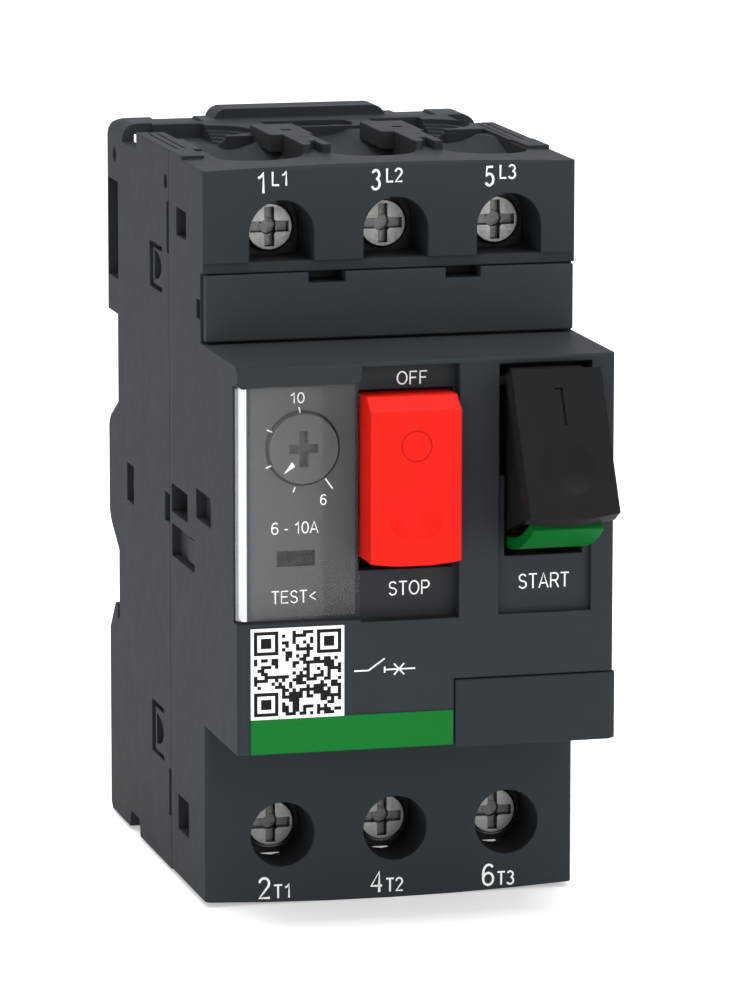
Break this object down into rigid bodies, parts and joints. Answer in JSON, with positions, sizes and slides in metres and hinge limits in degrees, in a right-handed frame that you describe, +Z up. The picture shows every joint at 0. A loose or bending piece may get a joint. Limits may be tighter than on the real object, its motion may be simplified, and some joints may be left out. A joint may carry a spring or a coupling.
{
  "type": "motor protection breaker",
  "caption": "Three-pole rail-mounted motor protection breaker with stop and start push controls, an adjustable setting dial under a clear cover, and screw clamp terminals.",
  "frame": {"origin": "on the rearmost plane, at the centre of the middle rib that lies inside the mounting rail", "axes": "+X to the right as seen from the front, +Y towards the mounting panel, +Z up towards the line terminals"},
  "size_m": [0.0449, 0.0814, 0.0885],
  "materials": {
    "housing_grey": "fine moulded satin texture",
    "strip_grey": "fine moulded satin texture",
    "label_print": "printed film, white and green",
    "clear_cover": "polished clear polycarbonate",
    "dial_grey": "satin moulded",
    "stop_red": "semi-gloss moulded",
    "start_black": "satin moulded",
    "indicator_green": "semi-gloss moulded",
    "latch_black": "satin moulded",
    "insulator": "glass-filled moulded",
    "copper": "rolled copper",
    "brass": "stamped strip",
    "spring_steel": "drawn wire",
    "plated_steel": "zinc plated",
    "steel": "stamped sheet"
  },
  "bodies": {
    "housing": {"base_housing": "housing_grey", "front_housing": "housing_grey", "marker_strip": "strip_grey", "aux_slot_cap": "strip_grey", "front_label": "label_print", "start_pin": "steel", "stop_pin": "steel", "mechanism_frame": "steel", "lever_pin": "steel", "main_spring": "spring_steel", "stop_spring": "spring_steel", "din_latch_spring": "spring_steel", "line_terminal_1": "copper", "load_terminal_1": "copper", "load_contact_1": "copper", "arc_chute_1": "steel", "magnetic_coil_1": "copper", "bimetal_1": "brass", "line_terminal_2": "copper", "load_terminal_2": "copper", "load_contact_2": "copper", "arc_chute_2": "steel", "magnetic_coil_2": "copper", "bimetal_2": "brass", "line_terminal_3": "copper", "load_terminal_3": "copper", "load_contact_3": "copper", "arc_chute_3": "steel", "magnetic_coil_3": "copper", "bimetal_3": "brass"},
    "sealing_cover": {"sealing_cover": "clear_cover"},
    "setting_dial": {"setting_dial": "dial_grey"},
    "test_slider": {"test_slider": "dial_grey"},
    "stop_button": {"stop_button": "stop_red"},
    "start_rocker": {"start_button": "start_black", "start_indicator": "indicator_green"},
    "latch_lever": {"latch_lever": "steel"},
    "trip_bar": {"trip_bar": "insulator"},
    "contact_carrier": {"contact_carrier": "insulator", "contact_bridge_1": "brass", "contact_bridge_2": "brass", "contact_bridge_3": "brass"},
    "din_latch": {"din_latch": "latch_black"},
    "striker_1": {"striker_1": "steel"},
    "line_clamp_1": {"line_clamp_1": "plated_steel"},
    "line_screw_1": {"line_screw_1": "plated_steel"},
    "load_clamp_1": {"load_clamp_1": "plated_steel"},
    "load_screw_1": {"load_screw_1": "plated_steel"},
    "striker_2": {"striker_2": "steel"},
    "line_clamp_2": {"line_clamp_2": "plated_steel"},
    "line_screw_2": {"line_screw_2": "plated_steel"},
    "load_clamp_2": {"load_clamp_2": "plated_steel"},
    "load_screw_2": {"load_screw_2": "plated_steel"},
    "striker_3": {"striker_3": "steel"},
    "line_clamp_3": {"line_clamp_3": "plated_steel"},
    "line_screw_3": {"line_screw_3": "plated_steel"},
    "load_clamp_3": {"load_clamp_3": "plated_steel"},
    "load_screw_3": {"load_screw_3": "plated_steel"}
  },
  "joints": [
    {"name": "start_press", "type": "hinge", "parent": "housing", "child": "start_rocker", "pos_m": [0.01395, -0.0675, 0.02], "axis": [1, 0, 0], "range_deg": [0, 28.5]},
    {"name": "stop_press", "type": "hinge", "parent": "housing", "child": "stop_button", "pos_m": [-0.00205, -0.064, 0.0175], "axis": [1, 0, 0], "range_deg": [0, 6], "stiffness_Nm_per_rad": 0.05, "springref_deg": -11.46, "deforming": ["stop_spring"]},
    {"name": "dial_turn", "type": "hinge", "parent": "housing", "child": "setting_dial", "pos_m": [-0.01415, -0.0673, 0.0129], "axis": [0, -1, 0], "range_deg": [-123, 83.4]},
    {"name": "test_push", "type": "slide", "parent": "housing", "child": "test_slider", "axis": [-1, 0, 0], "range_m": [0, 0.0015], "stiffness_N_per_m": 200, "springref_m": -0.002},
    {"name": "cover_open", "type": "hinge", "parent": "housing", "child": "sealing_cover", "pos_m": [-0.0213, -0.06835, 0.0068], "axis": [0, 0, -1], "range_deg": [0, 115]},
    {"name": "latch_pull", "type": "slide", "parent": "housing", "child": "din_latch", "axis": [0, 0, -1], "range_m": [0, 0.004], "stiffness_N_per_m": 1200, "springref_m": -0.004, "deforming": ["din_latch_spring"]},
    {"name": "contact_travel", "type": "slide", "parent": "housing", "child": "contact_carrier", "axis": [0, 1, 0], "range_m": [0, 0.00308], "stiffness_N_per_m": 300, "springref_m": -0.003, "deforming": ["main_spring"]},
    {"name": "lever_swing", "type": "hinge", "parent": "housing", "child": "latch_lever", "pos_m": [-0.0018, -0.0545, 0.01], "axis": [1, 0, 0], "range_deg": [0, 17.1]},
    {"name": "trip_shift", "type": "slide", "parent": "housing", "child": "trip_bar", "axis": [-1, 0, 0], "range_m": [0, 0.0015]},
    {"name": "striker_lift_1", "type": "slide", "parent": "housing", "child": "striker_1", "axis": [0, 0, 1], "range_m": [0, 0.0015], "stiffness_N_per_m": 150, "springref_m": -0.003},
    {"name": "line_clamp_travel_1", "type": "slide", "parent": "housing", "child": "line_clamp_1", "axis": [0, 1, 0], "range_m": [0, 0.0014]},
    {"name": "line_screw_turn_1", "type": "hinge", "parent": "line_clamp_1", "child": "line_screw_1", "pos_m": [-0.013, -0.0443, 0.0355], "axis": [0, 1, 0], "range_deg": [0, 720]},
    {"name": "load_clamp_travel_1", "type": "slide", "parent": "housing", "child": "load_clamp_1", "axis": [0, 1, 0], "range_m": [0, 0.0014]},
    {"name": "load_screw_turn_1", "type": "hinge", "parent": "load_clamp_1", "child": "load_screw_1", "pos_m": [-0.013, -0.0443, -0.0355], "axis": [0, 1, 0], "range_deg": [0, 720]},
    {"name": "striker_lift_2", "type": "slide", "parent": "housing", "child": "striker_2", "axis": [0, 0, 1], "range_m": [0, 0.0015], "stiffness_N_per_m": 150, "springref_m": -0.003},
    {"name": "line_clamp_travel_2", "type": "slide", "parent": "housing", "child": "line_clamp_2", "axis": [0, 1, 0], "range_m": [0, 0.0014]},
    {"name": "line_screw_turn_2", "type": "hinge", "parent": "line_clamp_2", "child": "line_screw_2", "pos_m": [0.0006, -0.0443, 0.0355], "axis": [0, 1, 0], "range_deg": [0, 720]},
    {"name": "load_clamp_travel_2", "type": "slide", "parent": "housing", "child": "load_clamp_2", "axis": [0, 1, 0], "range_m": [0, 0.0014]},
    {"name": "load_screw_turn_2", "type": "hinge", "parent": "load_clamp_2", "child": "load_screw_2", "pos_m": [0.0006, -0.0443, -0.0355], "axis": [0, 1, 0], "range_deg": [0, 720]},
    {"name": "striker_lift_3", "type": "slide", "parent": "housing", "child": "striker_3", "axis": [0, 0, 1], "range_m": [0, 0.0015], "stiffness_N_per_m": 150, "springref_m": -0.003},
    {"name": "line_clamp_travel_3", "type": "slide", "parent": "housing", "child": "line_clamp_3", "axis": [0, 1, 0], "range_m": [0, 0.0014]},
    {"name": "line_screw_turn_3", "type": "hinge", "parent": "line_clamp_3", "child": "line_screw_3", "pos_m": [0.0142, -0.0443, 0.0355], "axis": [0, 1, 0], "range_deg": [0, 720]},
    {"name": "load_clamp_travel_3", "type": "slide", "parent": "housing", "child": "load_clamp_3", "axis": [0, 1, 0], "range_m": [0, 0.0014]},
    {"name": "load_screw_turn_3", "type": "hinge", "parent": "load_clamp_3", "child": "load_screw_3", "pos_m": [0.0142, -0.0443, -0.0355], "axis": [0, 1, 0], "range_deg": [0, 720]}
  ],
  "couplings": [
    {"joint": "start_press", "follows": "contact_travel", "rad_per_m": 161.29},
    {"joint": "lever_swing", "follows": "contact_travel", "rad_per_m": 96.774},
    {"joint": "trip_shift", "follows": "test_push", "ratio": 1},
    {"joint": "line_screw_turn_1", "follows": "line_clamp_travel_1", "rad_per_m": 8975.9},
    {"joint": "load_screw_turn_1", "follows": "load_clamp_travel_1", "rad_per_m": 8975.9},
    {"joint": "line_screw_turn_2", "follows": "line_clamp_travel_2", "rad_per_m": 8975.9},
    {"joint": "load_screw_turn_2", "follows": "load_clamp_travel_2", "rad_per_m": 8975.9},
    {"joint": "line_screw_turn_3", "follows": "line_clamp_travel_3", "rad_per_m": 8975.9},
    {"joint": "load_screw_turn_3", "follows": "load_clamp_travel_3", "rad_per_m": 8975.9}
  ]
}
